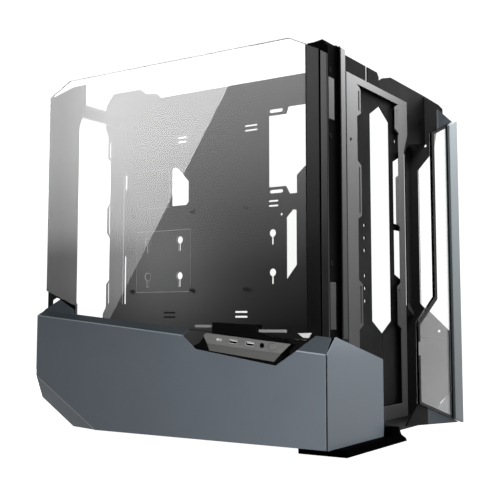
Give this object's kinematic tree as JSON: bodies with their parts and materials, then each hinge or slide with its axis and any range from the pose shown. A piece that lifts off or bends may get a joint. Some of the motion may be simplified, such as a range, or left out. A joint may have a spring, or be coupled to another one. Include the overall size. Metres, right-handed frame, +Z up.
{
  "type": "open-frame computer chassis",
  "caption": "Open-frame computer chassis: glass sides, folded painted shroud, perforated board tray, front radiator frame, an angular front wing and a front socket strip.",
  "frame": {"origin": "centre of the bounding box on the floor plane, under the pads", "axes": "+X to the front with the radiator frame, +Y away from the main glass side, +Z up"},
  "size_m": [0.545, 0.424, 0.571],
  "materials": {
    "slate_paint": "satin powder coat",
    "pale_blue_paint": "satin powder coat",
    "black_steel": "fine matt powder coat",
    "grey_steel": "fine matt powder coat",
    "band_steel": "satin powder coat",
    "aluminium": "fine blasted",
    "black_plastic": "matt moulded",
    "black_print": "gloss",
    "rubber": "matt",
    "glass": "clear, polished edges",
    "bright_steel": "satin",
    "white_plastic": "satin"
  },
  "bodies": {
    "chassis": {"shroud_side": "slate_paint", "shroud_front": "slate_paint", "wing_frame": "slate_paint", "wing_bar": "pale_blue_paint", "front_post": "black_steel", "floor_plate": "black_steel", "front_wall_left": "black_steel", "front_wall_right": "black_steel", "right_side_frame": "black_steel", "rear_bracket": "black_steel", "wing_spacer": "black_steel", "post_screws": "black_steel", "bracket_screws": "black_steel", "board_standoffs": "black_steel", "board_tray": "grey_steel", "tray_cover": "grey_steel", "rear_post": "grey_steel", "supply_bracket": "grey_steel", "post_band_outer": "band_steel", "post_band_inner": "band_steel", "radiator_frame": "aluminium", "corner_strip": "aluminium", "io_faceplate": "aluminium", "io_lower_strip": "aluminium", "latch_rods": "aluminium", "latch_plates": "aluminium", "button_ring": "aluminium", "io_housing": "black_plastic", "latch_block": "black_plastic", "front_foot": "black_plastic", "rear_foot": "black_plastic", "right_feet": "black_plastic", "post_cap": "black_plastic", "audio_jack": "black_plastic", "glass_edge_trim": "black_print", "wing_pane_border": "black_print", "foot_pads": "rubber", "left_glass": "glass", "right_glass": "glass", "wing_pane": "glass", "standoff_tube": "bright_steel", "usb_a_ports": "bright_steel", "usb_c_port": "bright_steel", "glass_clip": "white_plastic"},
    "button": {"power_button": "aluminium"}
  },
  "joints": [
    {"name": "power_press", "type": "slide", "parent": "chassis", "child": "button", "axis": [0, 1, 0], "range_m": [0, 0.0015], "stiffness_N_per_m": 250}
  ]
}
